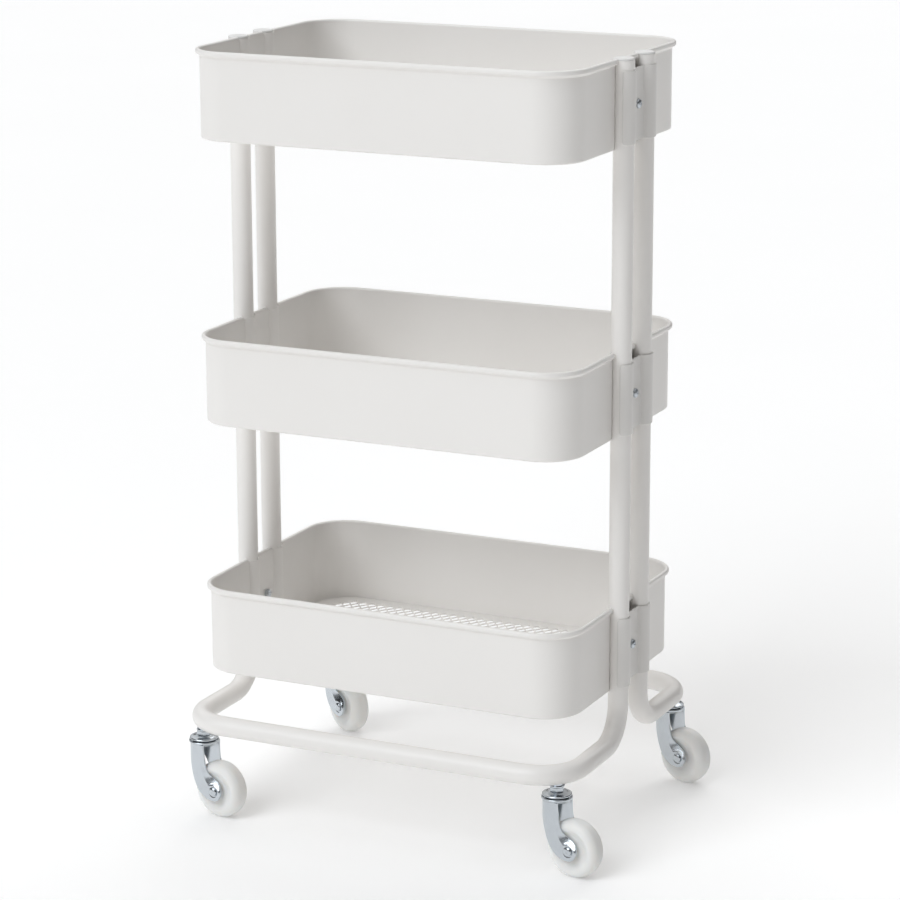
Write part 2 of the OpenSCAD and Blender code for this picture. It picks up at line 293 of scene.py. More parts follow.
def new_material(name, metallic=0.0, specular=0.5):
    material = bpy.data.materials.new(name)
    material.use_nodes = True
    shader = material.node_tree.nodes["Principled BSDF"]
    shader.inputs["Metallic"].default_value = metallic
    shader.inputs["Specular IOR Level"].default_value = specular
    return material, material.node_tree, shader


def powder_coat(name, shade):
    """Satin warm white with the faint orange peel of a baked powder coat. shade is 1 at its lightest; below
    1 the whole colour is darkened as painted shade.
    """
    material, tree, shader = new_material(name)
    patches = noise(tree, 9, detail=3)
    darker = tuple(shade * value for value in (0.862, 0.839, 0.810))
    lighter = tuple(shade * value for value in (0.886, 0.865, 0.838))
    tree.links.new(blend_colours(tree, patches, darker, lighter), shader.inputs["Base Color"])
    tree.links.new(to_range(tree, noise(tree, 60), 0.30, 0.42), shader.inputs["Roughness"])
    add_bump(tree, shader, noise(tree, 900, detail=1), 0.10, 0.05)
    return material


def cap_plastic():
    """Matte moulded plastic with a fine spark-eroded grain."""
    material, tree, shader = new_material("cap_plastic_white", specular=0.4)
    colour = blend_colours(tree, noise(tree, 200), (0.80, 0.79, 0.775), (0.83, 0.82, 0.805))
    tree.links.new(colour, shader.inputs["Base Color"])
    tree.links.new(to_range(tree, noise(tree, 700), 0.45, 0.60), shader.inputs["Roughness"])
    add_bump(tree, shader, noise(tree, 2500, detail=2), 0.15, 0.04)
    return material


def zinc_plate(name, smoothest):
    """Blue-passivated zinc, with a soft cloudy sheen and fine drawing marks. smoothest is its
    lowest roughness."""
    material, tree, shader = new_material(name, metallic=1.0)
    clouds = noise(tree, 120, detail=4)
    colour = blend_colours(tree, clouds, (0.53, 0.565, 0.60), (0.60, 0.64, 0.675))
    tree.links.new(colour, shader.inputs["Base Color"])
    roughness = to_range(tree, noise(tree, 350, detail=3), smoothest, smoothest + 0.06)
    tree.links.new(roughness, shader.inputs["Roughness"])
    add_bump(tree, shader, noise(tree, 500, detail=2, stretch=(1, 1, 0.15)), 0.05, 0.02)
    return material


def nylon():
    """Milky moulded nylon that lets light through."""
    material, tree, shader = new_material("nylon_milky", specular=0.45)
    colour = blend_colours(tree, noise(tree, 80), (0.83, 0.83, 0.81), (0.84, 0.835, 0.82))
    tree.links.new(colour, shader.inputs["Base Color"])
    shader.inputs["Subsurface Weight"].default_value = 0.6
    shader.inputs["Subsurface Radius"].default_value = (1.0, 0.9, 0.8)
    shader.inputs["Subsurface Scale"].default_value = 8 * MM
    tree.links.new(to_range(tree, noise(tree, 250, detail=3), 0.32, 0.48), shader.inputs["Roughness"])
    add_bump(tree, shader, noise(tree, 1200, detail=2), 0.08, 0.04)
    return material


def bearing_steel():
    """Hardened steel with a thin film of grease."""
    material, tree, shader = new_material("bearing_steel_dark", metallic=1.0)
    colour = blend_colours(tree, noise(tree, 900), (0.32, 0.33, 0.35), (0.45, 0.46, 0.48))
    tree.links.new(colour, shader.inputs["Base Color"])
    tree.links.new(to_range(tree, noise(tree, 1500), 0.15, 0.3), shader.inputs["Roughness"])
    return material


WHITE = powder_coat("powder_coat_white", 1.0)
# The clamps get a darker copy of the same powder coat: painted shade, since the clamps wear the same paint
# as the trays.
CLAMP_WHITE_PAINTED_SHADE = powder_coat("powder_coat_clamps_painted_shade", 0.87)
CAP = cap_plastic()
ZINC = zinc_plate("zinc_plate_blue", 0.20)
DULL_ZINC = zinc_plate("zinc_plate_dull", 0.45)
NYLON = nylon()
BALL = bearing_steel()
FINISHES = {
    "powder_coat": WHITE,
    "cap_plastic": CAP,
    "zinc_plate": ZINC,
    "nylon": NYLON,
    "bearing_steel": BALL,
}


# ---- Leg frames ----


def leg_line():
    """Centreline of the front frame's right half: (point, direction) from the leg's top down,
    forward, round the corner and along the rail to the middle."""
    corner_x, corner_y = LEG_X - BASE_CORNER_R, RAIL_Y - BASE_CORNER_R
    line = [((LEG_X, -LEG_Y, LEG_TOP), (0, 0, -1))]
    for a in angles(0, -90, 24):
        point = (LEG_X, -LEG_Y - DROP_R + DROP_R * math.cos(a), BASE_Z + DROP_R + DROP_R * math.sin(a))
        line.append((point, (0, math.sin(a), -math.cos(a))))
    for a in angles(0, -90, 24):
        point = (corner_x + BASE_CORNER_R * math.cos(a), -corner_y + BASE_CORNER_R * math.sin(a), BASE_Z)
        line.append((point, (math.sin(a), -math.cos(a), 0)))
    line.append(((0, -RAIL_Y, BASE_Z), (-1, 0, 0)))
    return line


def tube_rings(radius, sides=48):
    """Circles of one radius along the whole frame, from the right leg's top to the left's."""
    rings = []
    across = Vector((1, 0, 0))
    for point, direction in leg_line():
        along = Vector(direction)
        across = (across - along * across.dot(along)).normalized()
        other = along.cross(across)
        rings.append(
            [
                tuple(Vector(point) + radius * (math.cos(a) * across + math.sin(a) * other))
                for a in angles(0, 360, sides)[:-1]
            ]
        )
    left = [[(-x, y, z) for x, y, z in ring] for ring in reversed(rings[:-1])]
    return rings + left


def leg_frame(turn):
    """The bent tube. turn is 1 for the front frame and -1 for the rear one."""
    outer, inner = tube_rings(TUBE_R), tube_rings(TUBE_R - TUBE_T)
    verts, faces = loft(outer + inner[::-1], loop=True)
    return [([(turn * x, turn * y, z) for x, y, z in verts], faces)]


def leg_cap():
    """Domed cap with a plug inside the tube. A fine groove parts it from the tube's end."""
    dome_h, edge_r, groove = 1.0, 1.2, 0.4
    plug_r, plug_h, plug_wall, fit = TUBE_R - TUBE_T, 14, 2, 0.02
    profile = [(0, CART_H)]
    profile += [(r, CART_H - dome_h * (r / TUBE_R) ** 2) for r in np.linspace(1, TUBE_R - edge_r, 8)]
    profile += arc((TUBE_R - edge_r, CART_H - dome_h - 1.1), edge_r, 75, 0, 5)
    profile += [(TUBE_R, LEG_TOP + 0.5), (TUBE_R - groove, LEG_TOP + 0.1), (plug_r - fit, LEG_TOP + 0.1)]
    profile += [(plug_r - fit, LEG_TOP - plug_h), (plug_r - plug_wall, LEG_TOP - plug_h)]
    profile += [(plug_r - plug_wall, LEG_TOP), (0, LEG_TOP)]
    return lathe(profile, steps=48)


def add_legs():
    add_piece("front_leg_tube", "front_leg_frame", leg_frame(1), WHITE)
    add_piece("rear_leg_tube", "rear_leg_frame", leg_frame(-1), WHITE)
    for corner in CORNERS:
        low, high = box_mm(f"{corner}_leg_cap")
        place = ((low[0] + high[0]) / 2, (low[1] + high[1]) / 2, 0)
        add_piece(f"{corner}_cap", f"{corner}_leg_cap", [moved(leg_cap(), place)], CAP)


# ---- Trays ----


def wall_quarter():
    """Stations from the middle of the right end to the middle of the rear side. Each is a point of
    the wall's outer face, its outward direction, the same for the flange's edge, and whether
    the wall carries the rim there."""
    fillet_x = TRAY_HALF_L - GROOVE_FILLET
    reach = GROOVE_R + GROOVE_FILLET
    fillet_y = math.sqrt(reach**2 - (LEG_X - fillet_x) ** 2)
    tilt = math.degrees(math.atan2(fillet_y, LEG_X - fillet_x))

    def end_wall(x, y, nx, ny, rim):
        return ((x, y), (nx, ny), (TRAY_HALF_L, y), (1, 0), rim)

    stations = [end_wall(TRAY_HALF_L, 0, 1, 0, True)]
    stations += [end_wall(TRAY_HALF_L, LEG_Y - RIM_GAP_HALF, 1, 0, rim) for rim in (True, False)]
    for a in angles(0, tilt, 6):
        nx, ny = math.cos(a), math.sin(a)
        stations.append(
            end_wall(fillet_x + GROOVE_FILLET * nx, LEG_Y - fillet_y + GROOVE_FILLET * ny, nx, ny, False)
        )
    for a in angles(180 + tilt, 180 - tilt, 24)[1:-1]:
        nx, ny = -math.cos(a), -math.sin(a)
        stations.append(end_wall(LEG_X - GROOVE_R * nx, LEG_Y - GROOVE_R * ny, nx, ny, False))
    for a in angles(-tilt, 0, 6):
        nx, ny = math.cos(a), math.sin(a)
        stations.append(
            end_wall(fillet_x + GROOVE_FILLET * nx, LEG_Y + fillet_y + GROOVE_FILLET * ny, nx, ny, False)
        )
    stations += [end_wall(TRAY_HALF_L, LEG_Y + RIM_GAP_HALF, 1, 0, rim) for rim in (False, True)]
    for a in angles(0, 90, 24):
        normal = (math.cos(a), math.sin(a))
        point = (
            TRAY_HALF_L - CORNER_R + CORNER_R * normal[0],
            TRAY_HALF_W - CORNER_R + CORNER_R * normal[1],
        )
        stations.append((point, normal, point, normal, True))
    stations.append(((0, TRAY_HALF_W), (0, 1), (0, TRAY_HALF_W), (0, 1), True))
    return stations


def mirrored(stations, sx, sy):
    """A quarter's stations on another quarter, still in order round the tray."""
    flipped = [
        tuple((sx * part[0], sy * part[1]) for part in station[:4]) + (station[4],) for station in stations
    ]
    return flipped[::-1] if sx * sy < 0 else flipped


def wall_profile(rim):
    """Section of a tray's sheet as (distance out of the wall's face, height), closed. The rim
    swells softly out of the wall and rolls over into its inner face."""
    top_r = (RIM_REACH + SHEET_T) / 2
    swell_h = RIM_DROP / 2
    roll = [
        (RIM_REACH * (1 - math.cos(a)) / 2, TRAY_H - RIM_DROP + swell_h * a / math.pi)
        for a in angles(0, 180, 12)
    ]
    roll += arc((RIM_REACH - top_r, TRAY_H - top_r), top_r, 0, 180, 16)
    if not rim:
        edge_z = TRAY_H - NOTCH_DROP
        half = len(roll) // 2
        roll = [roll[0]] + [(0, edge_z)] * (half - 1) + [(-SHEET_T, edge_z)] * (len(roll) - half)
    outline = [(-FLANGE_W, 0)]
    outline += arc((-BEND_R, BEND_R), BEND_R, -90, 0, 5)
    outline += roll
    outline += [(-SHEET_T, TRAY_H - RIM_DROP)]
    outline += arc((-BEND_R, BEND_R), BEND_R - SHEET_T, 0, -90, 4)
    outline += [(-FLANGE_W, SHEET_T)]
    return outline


def tray_shell(floor_z):
    """Wall, rim and flange as one sheet all the way round, with the grooves that clear the legs."""
    quarter = wall_quarter()
    stations = quarter + mirrored(quarter, -1, 1) + mirrored(quarter, -1, -1) + mirrored(quarter, 1, -1)
    sections = []
    for point, normal, flange_point, flange_normal, rim in stations:
        section = []
        for out, z in wall_profile(rim):
            base, direction = (flange_point, flange_normal) if out == -FLANGE_W else (point, normal)
            section.append((base[0] + out * direction[0], base[1] + out * direction[1], floor_z + z))
        sections.append(section)
    return loft(sections, loop=True)


def rounded_outline(half_l, half_w, radius, steps=12):
    outline = []
    for sx, sy, start in [(1, 1, 0), (-1, 1, 90), (-1, -1, 180), (1, -1, 270)]:
        outline += arc((sx * (half_l - radius), sy * (half_w - radius)), radius, start, start + 90, steps)
    return outline


def opening_fits(x, y):
    """True where a whole opening centred at x, y keeps clear of the plain border."""
    open_l = TRAY_HALF_L - MESH_BORDER - MESH_PITCH / 2
    open_w = TRAY_HALF_W - MESH_BORDER - MESH_ROW / 2
    blend = CORNER_R / 2
    dx = max(0, abs(x) - (open_l - blend))
    dy = max(0, abs(y) - (open_w - blend))
    return math.hypot(dx, dy) <= blend


def floor_mesh():
    """Expanded metal from height 0 to MESH_T, as a lattice of diamond openings. Its outline is a map
    from each upper corner to the next one."""
    half_pitch = MESH_PITCH / 2
    inset_x, inset_y = 0.85 * STRAND_W, 0.62 * STRAND_W
    open_x, open_y = half_pitch - inset_x, MESH_ROW - inset_y
    chamfer = 0.25
    levels = [
        (0, 1 + chamfer / open_y),
        (chamfer, 1),
        (MESH_T - chamfer, 1),
        (MESH_T, 1 + chamfer / open_y),
    ]
    points, index, faces = [], {}, []

    def vertex(x, y, z):
        key = (round(x, 3), round(y, 3), round(z, 3))
        if key not in index:
            index[key] = len(points)
            points.append((x, y, z))
        return index[key]

    sides = []
    columns, rows = math.ceil(TRAY_HALF_L / MESH_PITCH), math.ceil(TRAY_HALF_W / MESH_ROW)
    for row in range(-rows, rows + 1):
        for column in range(-columns, columns + 1):
            x = (column + (0.5 if row % 2 == 0 else 1.0)) * MESH_PITCH
            y = row * MESH_ROW
            if not opening_fits(x, y):
                continue
            corners = [(half_pitch, 0), (0, MESH_ROW), (-half_pitch, 0), (0, -MESH_ROW)]
            hole = [(open_x, 0), (0, open_y), (-open_x, 0), (0, -open_y)]
            tile = [[vertex(x + cx, y + cy, z) for cx, cy in corners] for z in (0, MESH_T)]
            rings = [[vertex(x + hx * k, y + hy * k, z) for hx, hy in hole] for z, k in levels]
            for a in range(4):
                b = (a + 1) % 4
                faces.append((tile[0][b], tile[0][a], rings[0][a], rings[0][b]))
                faces.append((tile[1][a], tile[1][b], rings[3][b], rings[3][a]))
                for low, high in zip(rings, rings[1:]):
                    faces.append((low[b], low[a], high[a], high[b]))
                sides.append((tile[1][a], tile[1][b]))
    both_ways = set(sides)
    outline = {a: b for a, b in sides if (b, a) not in both_ways}
    return points, faces, outline


def tray_floor():
    """The lattice and its plain border, whose outline keeps clear of the grooves in the end walls."""
    points, faces, lattice_edge = floor_mesh()
    half_l = LEG_X - GROOVE_R - SHEET_T - 0.2
    half_w = TRAY_HALF_W - SHEET_T - MESH_CLEARANCE
    outline = rounded_outline(half_l, half_w, CORNER_R - SHEET_T - MESH_CLEARANCE)
    bm = bmesh.new()
    loop = [bm.verts.new((x, y, 0)) for x, y in outline]
    rim_edges = [bm.edges.new((a, b)) for a, b in zip(loop, loop[1:] + loop[:1]) if a.co != b.co]
    inner = {a: bm.verts.new((points[a][0], points[a][1], 0)) for a in lattice_edge}
    rim_edges += [bm.edges.new((inner[a], inner[b])) for a, b in lattice_edge.items()]
    bmesh.ops.triangle_fill(bm, edges=rim_edges, use_beauty=True)
    bm.verts.index_update()
    count = len(points)
    flat = [tuple(v.co) for v in bm.verts]
    fill = []
    for face in bm.faces:
        corners = [v.index for v in face.verts]
        fill.append(corners if face.normal.z > 0 else corners[::-1])
    bm.free()
    size = len(flat)
    points = points + [(x, y, MESH_T) for x, y, _ in flat] + [(x, y, 0) for x, y, _ in flat]
    for face in fill:
        faces.append(tuple(count + v for v in face))
        faces.append(tuple(count + size + v for v in reversed(face)))
    for k in range(len(loop)):
        m = (k + 1) % len(loop)
        faces.append((count + size + k, count + size + m, count + m, count + k))
    return points, faces


def add_trays():
    floor_shape = tray_floor()
    for tray in TRAYS:
        shell_low, floor_low = box_mm(f"{tray}_tray")[0], box_mm(f"{tray}_tray_floor")[0]
        add_piece(f"{tray}_shell", f"{tray}_tray", [tray_shell(shell_low[2])], WHITE, sharp=40)
        placed = moved(floor_shape, (0, 0, floor_low[2]))
        add_piece(f"{tray}_mesh_floor", f"{tray}_tray_floor", [placed], WHITE)


# ---- Clamps ----


def clamp_line():
    """Outer face of the right clamp from front to rear, as (point, outward direction)."""
    outer_r = GROOVE_R + CLAMP_T
    flat_x = CLAMP_INNER_X + CLAMP_T
    first = -math.degrees(math.acos((CLAMP_INNER_X - LEG_X) / GROOVE_R))
    fillet_x = flat_x + CLAMP_FILLET
    fillet_dy = math.sqrt((outer_r + CLAMP_FILLET) ** 2 - (fillet_x - LEG_X) ** 2)
    last = math.degrees(math.atan2(fillet_dy, fillet_x - LEG_X))
    line = []
    for a in angles(first, last, 29):
        normal = (math.cos(a), math.sin(a))
        line.append(((LEG_X + outer_r * normal[0], -LEG_Y + outer_r * normal[1]), normal))
    for a in angles(180 + last, 180, 6)[1:]:
        normal = (-math.cos(a), -math.sin(a))
        centre = (fillet_x, -LEG_Y + fillet_dy)
        line.append(((centre[0] - CLAMP_FILLET * normal[0], centre[1] - CLAMP_FILLET * normal[1]), normal))
    rear = [((x, -y), (nx, -ny)) for (x, y), (nx, ny) in reversed(line)]
    return line + rear


def clamp(side, bottom, top):
    """Folded plate with rounded corners. side is 1 for the right one and -1 for the left one."""
    line = clamp_line()
    steps = [0] + [math.dist(a[0], b[0]) for a, b in zip(line, line[1:])]
    way = np.cumsum(steps)
    sections = []
    for ((x, y), (nx, ny)), along in zip(line, way):
        from_end = min(along, way[-1] - along)
        rise = max(0.0, CLAMP_CORNER_R - from_end)
        inset = CLAMP_CORNER_R - math.sqrt(CLAMP_CORNER_R**2 - rise**2)
        inner = (x - CLAMP_T * nx, y - CLAMP_T * ny)
        low, high = bottom + inset, top - inset
        sections.append([(x, y, low), (x, y, high), (*inner, high), (*inner, low)])
    verts, faces = loft(sections, caps=True)
    return [(side * x, side * y, z) for x, y, z in verts], faces


def add_clamps():
    for tray in TRAYS:
        for name, side in (("left", -1), ("right", 1)):
            node = f"{tray}_{name}_clamp"
            low, high = box_mm(node)
            plate = clamp(side, low[2], high[2])
            # The clamp plates use the darker copy of the coat, which paints shade onto them.
            add_piece(f"{node}_plate", node, [plate], CLAMP_WHITE_PAINTED_SHADE, bevel=0.7, sharp=50)


def cross_recess(height, arm=2.1, half_width=0.5, depth=0.9):
    """Closed cutter for the cross-shaped recess in a screw head, narrower at its floor."""
    outline = []
    for k in range(4):
        c, s = math.cos(k * math.pi / 2), math.sin(k * math.pi / 2)
        for x, y in [(half_width, -half_width), (arm, -half_width), (arm, half_width)]:
            outline.append((x * c - y * s, x * s + y * c))
    top = [(height + 1, x, y) for x, y in outline]
    floor = [(height - depth, x * 0.7, y * 0.7) for x, y in outline]
    return loft([floor, top], caps=True)


def clamp_screw(tip_x, face_x, head_x):
    """Domed head and shank along +X."""
    head_r, brim_x = SCREW_HEAD_R, face_x + SCREW_BRIM
    profile = [(0, tip_x), (SCREW_R - 0.5, tip_x), (SCREW_R, tip_x + 0.5), (SCREW_R, face_x)]
    profile += [(head_r - 0.2, face_x), (head_r, face_x + 0.2), (head_r, brim_x)]
    profile += [(head_r * math.cos(a), brim_x + (head_x - brim_x) * math.sin(a)) for a in angles(12, 78, 6)]
    profile += [(0, head_x)]
    return lathe(profile, steps=40, axis="x")


def cut(piece, cutter_shape, name):
    """Cuts a closed shape out of a piece, for good."""
    cutter = bpy.data.objects.new(name, bpy.data.meshes.new(name))
    cutter.data.from_pydata([tuple(Vector(v) * MM) for v in cutter_shape[0]], [], cutter_shape[1])
    bpy.context.scene.collection.objects.link(cutter)
    boolean = piece.modifiers.new("cut", "BOOLEAN")
    boolean.object = cutter
    boolean.solver = "EXACT"
    bpy.context.view_layer.update()
    evaluated = piece.evaluated_get(bpy.context.evaluated_depsgraph_get())
    mesh = bpy.data.meshes.new_from_object(evaluated)
    piece.modifiers.clear()
    piece.data = mesh
    mesh.set_sharp_from_angle(angle=math.radians(35))
    bpy.data.objects.remove(cutter)


def turned(shape):
    """The same shape turned half a turn about Z."""
    verts, faces = shape
    return [(-x, -y, z) for x, y, z in verts], faces


def clamp_nut(x, z):
    """Hexagon nut with chamfered corners, along X."""
    corner_r = NUT_FLATS / 2 / math.cos(math.pi / 6)
    rings = [(0, corner_r * 0.93), (NUT_CHAMFER, corner_r)]
    rings += [(NUT_H - NUT_CHAMFER, corner_r), (NUT_H, corner_r * 0.93), (NUT_H, SCREW_R), (0, SCREW_R)]
    sections = [
        [(x + depth, r * math.cos(a), z + r * math.sin(a)) for a in angles(0, 300, 5)] for depth, r in rings
    ]
    return loft(sections, loop=True)


def add_screws():
    for tray in TRAYS:
        low, high = box_mm(f"{tray}_clamp_screws")
        z = (low[2] + high[2]) / 2
        face_x = CLAMP_INNER_X + CLAMP_T
        tip_x = TRAY_HALF_L - SHEET_T - SCREW_REACH_IN
        right = moved(clamp_screw(tip_x, face_x, high[0]), (0, 0, z))
        piece = add_piece(f"{tray}_screws", f"{tray}_clamp_screws", [right, turned(right)], DULL_ZINC)
        recess = moved(cross_recess(high[0]), (0, 0, z))
        cut(piece, recess, "recess")
        cut(piece, turned(recess), "recess")
        nut_high = box_mm(f"{tray}_clamp_nuts")[1]
        nut = clamp_nut(nut_high[0] - NUT_H, z)
        add_piece(f"{tray}_nuts", f"{tray}_clamp_nuts", [nut, turned(nut)], ZINC, bevel=0.15)


# ---- Casters, each drawn at the origin and trailing along +X ----


def hexagon_stem(insert_z):
    """Hexagon with softened corners under the rail, and the stem's threaded end and king pin."""
    bottom, top = HEX_BOTTOM, insert_z
    r = HEX_FLATS / 2 / math.cos(math.pi / 6)
    rings = []
    for z, k in [(bottom, 0.94), (bottom + 0.5, 1.0), (top - 0.7, 1.0), (top, 0.9)]:
        rings.append([(r * k * math.cos(a), r * k * math.sin(a), z) for a in angles(0, 300, 5)])
    hexagon = loft(rings, caps=True)
    shank = [(0, top - 1), (THREAD_CORE_R, top - 1), (THREAD_CORE_R, top)]
    for k in range(int((THREAD_TOP - top) / THREAD_PITCH)):
        z = top + THREAD_PITCH * k
        shank += [(THREAD_R, z + 0.35), (THREAD_CORE_R, z + 0.95)]
    shank.append((0, THREAD_TOP))
    head_top = CROWN_TOP - CROWN_T - 0.02
    pin = [(0, PIN_BOTTOM), (PIN_HEAD_R, PIN_BOTTOM), (PIN_HEAD_R, head_top - 0.38)]
    pin += [(PIN_HEAD_R - 0.6, head_top), (PIN_R, head_top), (PIN_R, bottom - 0.01), (0, bottom - 0.01)]
    return [hexagon, lathe(shank, steps=40), lathe(pin, steps=40)]


def upper_race():
    """Domed disc with a rolled edge, over the balls."""
    bore = PIN_R + 0.05
    edge_r = 1.1
    profile = [(bore, DISC_BOTTOM), (DISC_R - 1.6, DISC_BOTTOM)]
    profile += arc((DISC_R - edge_r, DISC_BOTTOM + 0.89), edge_r, -80, 75, 9)
    profile += [(12.6, 80.75), (11.2, 80.95), (9.8, 81.35), (8.6, 82.0), (7.9, 82.5)]
    profile += [(7.2, DISC_DOME_TOP), (bore, DISC_DOME_TOP)]
    return lathe(profile, steps=72)


def crown():
    """Top of the fork: the cup's floor under the balls, with a rolled lip around it."""
    bore, bottom, lip_r = PIN_R + 0.06, CROWN_TOP - CROWN_T, 0.9
    lip_inside = CROWN_LIP_R - 2 * lip_r
    profile = [(bore, bottom), (FORK_R - 0.5, bottom), (FORK_R, bottom + 0.5)]
    profile += [(FORK_R + 0.25, CROWN_TOP - lip_r)]
    profile += arc((CROWN_LIP_R - lip_r, CROWN_TOP + 0.4), lip_r, -50, 0, 4)
    profile += arc((CROWN_LIP_R - lip_r, CROWN_LIP_TOP - lip_r), lip_r, 10, 120, 8)
    profile += [(lip_inside, CROWN_LIP_TOP - 0.5), (lip_inside, CROWN_TOP), (bore, CROWN_TOP)]
    return lathe(profile, steps=72)


def smooth_line(points, steps):
    """A curve through the points (Catmull-Rom), at equal parameter steps."""
    points = np.array(points, float)
    p = np.array([2 * points[0] - points[1], *points, 2 * points[-1] - points[-2]])
    line = []
    for t in np.linspace(0, len(points) - 1, steps + 1):
        i = min(int(t), len(points) - 2)
        u = t - i
        a, b, c, d = p[i : i + 4]
        square, cube = 2 * a - 5 * b + 4 * c - d, 3 * b - a - 3 * c + d
        line.append(0.5 * (2 * b + (c - a) * u + square * u**2 + cube * u**3))
    return np.array(line)


def smoothstep(low, high, x):
    t = min(1.0, max(0.0, (x - low) / (high - low)))
    return t * t * (3 - 2 * t)


def fork_arms(trail, axle_z):
    """One side of the pressed fork, as the outer and inner skin of a sheet unrolled along its side
    view. Each row runs from the front edge to the back edge, as (distance along the sheet, height).
    Distances under 0 lie on the half-round front, whose middle is at nose. The back stretch of a
    row slopes inwards as a flange, but not around the rivet, where there is a shallow dimple."""
    nose = -FORK_R * math.pi / 2
    back_hub = trail + FORK_HUB_R
    rows = [
        # front edge, back edge, share of the row before the sloped flange, depth of the flange
        ((nose, CROWN_TOP - 0.4), (FORK_BACK, CROWN_TOP - 0.4), 0.80, 0.5),
        ((nose, 70), (FORK_BACK, 70), 0.80, 0.9),
        ((nose, 66), (FORK_BACK + 0.5, 64.5), 0.79, 1.3),
        ((-15.4, 61.5), (FORK_BACK + 1.1, 58.5), 0.77, 1.5),
        ((-10.0, 55), (11.8, 53), 0.75, 1.5),
        ((-5.6, 46), (14.6, 47.5), 0.72, 1.7),
        ((-2.2, 38), (18.6, 43.3), 0.64, 3.0),
        ((1.6, 30.5), (23.6, 40.2), 0.60, 3.7),
        ((6.6, 24.6), (28.8, 36.8), 0.60, 3.2),
        ((12.6, 20.9), (back_hub - 0.7, 32.2), 0.80, 1.2),
        ((18.0, 19.4), (back_hub - 0.2, 27.0), 0.94, 0.2),
        ((23.0, 19.0), (back_hub - 3.0, 22.0), 0.97, 0.0),
        ((26.8, 19.9), (26.9, 20.0), 0.97, 0.0),
    ]
    flange_from_r, flange_full_r = 5.0, 8.5
    dimple_depth, dimple_floor_r, dimple_edge_r = 0.45, 5.2, 6.6
    steps_down, steps_across = 96, 36
    front = smooth_line([row[0] for row in rows], steps_down)
    back = smooth_line([row[1] for row in rows], steps_down)
    share = smooth_line([(row[2], row[3]) for row in rows], steps_down)
    front[:, 0] = np.maximum(front[:, 0], nose)
    outer, inner = [], []
    for i in range(steps_down + 1):
        for j in range(steps_across + 1):
            u = j / steps_across
            a, z = front[i] + (back[i] - front[i]) * u
            from_axle = math.hypot(a - trail, z - axle_z)
            past_crease = max(0.0, (u - share[i][0]) / (1 - share[i][0]))
            sink = max(0.0, share[i][1]) * past_crease * smoothstep(flange_from_r, flange_full_r, from_axle)
            sink += dimple_depth * (1 - smoothstep(dimple_floor_r, dimple_edge_r, from_axle))
            rho = FORK_R - sink
            for skin, reach in ((outer, rho), (inner, rho - FORK_T)):
                if a >= 0:
                    skin.append((a, reach, z))
                else:
                    skin.append((reach * math.sin(a / FORK_R), reach * math.cos(a / FORK_R), z))
    count = steps_across + 1
    faces = []
    for i in range(steps_down):
        for j in range(steps_across):
            faces.append((i * count + j, i * count + j + 1, (i + 1) * count + j + 1, (i + 1) * count + j))
    return outer, inner, faces


def fork(trail, axle_z):
    """Both sides as one solid, joined along the front's middle line above the arch, and the crown."""
    outer, inner, faces = fork_arms(trail, axle_z)
    count = len(outer)
    all_outer = outer + [(x, -y, z) for x, y, z in outer]
    all_inner = inner + [(x, -y, z) for x, y, z in inner]
    all_faces = faces + [tuple(count + v for v in reversed(face)) for face in faces]
    merged, index = {}, []
    for k, point in enumerate(all_outer):
        index.append(merged.setdefault(tuple(np.round(point, 3) + 0.0), k))
    joined = []
    for face in all_faces:
        face = tuple(dict.fromkeys(index[v] for v in face))
        if len(face) > 2:
            joined.append(face)
    return [thick_sheet(all_outer, all_inner, joined), crown()]


def axle(trail, axle_z):
    """Rivet with a smooth domed head and a small dimple at each end."""
    half = FORK_R
    head = [(AXLE_HEAD_R - 0.3, half - 0.4), (AXLE_HEAD_R, half - 0.1), (AXLE_HEAD_R, half + 0.4)]
    head += [
        (AXLE_HEAD_R * math.cos(a), half + 0.4 + (AXLE_HEAD_H - 0.4) * math.sin(a))
        for a in angles(12, 78, 6)
    ]
    head += [(0.8, half + AXLE_HEAD_H - 0.1), (0, half + AXLE_HEAD_H - 0.25)]
    profile = [(r, -h) for r, h in reversed(head)] + [(AXLE_R, -half + 0.4), (AXLE_R, half - 0.4)] + head
    return moved(lathe(profile, steps=48, axis="y"), (trail, 0, axle_z))


def wheel(radius):
    """Moulded wheel about its own axle: round-shouldered tread, soft dish and a hub."""
    half_w, shoulder, hub_r = WHEEL_HALF_W, WHEEL_SHOULDER_R, WHEEL_HUB_R
    hub_half = FORK_R - FORK_T - 1.2
    side = [(radius, 0), (radius - 0.05, 2.2)]
    side += arc((radius - shoulder, half_w - shoulder), shoulder, 8, 88, 14)
    side += [(20.2, 10.3), (19.1, 9.8), (17.7, 9.0), (16.2, 8.2), (14.4, 7.7), (12.0, 7.5), (9.4, 7.55)]
    side += [(7.6, 7.9), (6.7, 8.7), (hub_r, 9.8), (hub_r, hub_half - 0.5), (hub_r - 0.5, hub_half)]
    side += [(AXLE_R + 0.37, hub_half), (AXLE_R + 0.07, hub_half - 0.3)]
    profile = side + [(r, -h) for r, h in reversed(side[1:])]
    return lathe(profile, steps=96, axis="y")


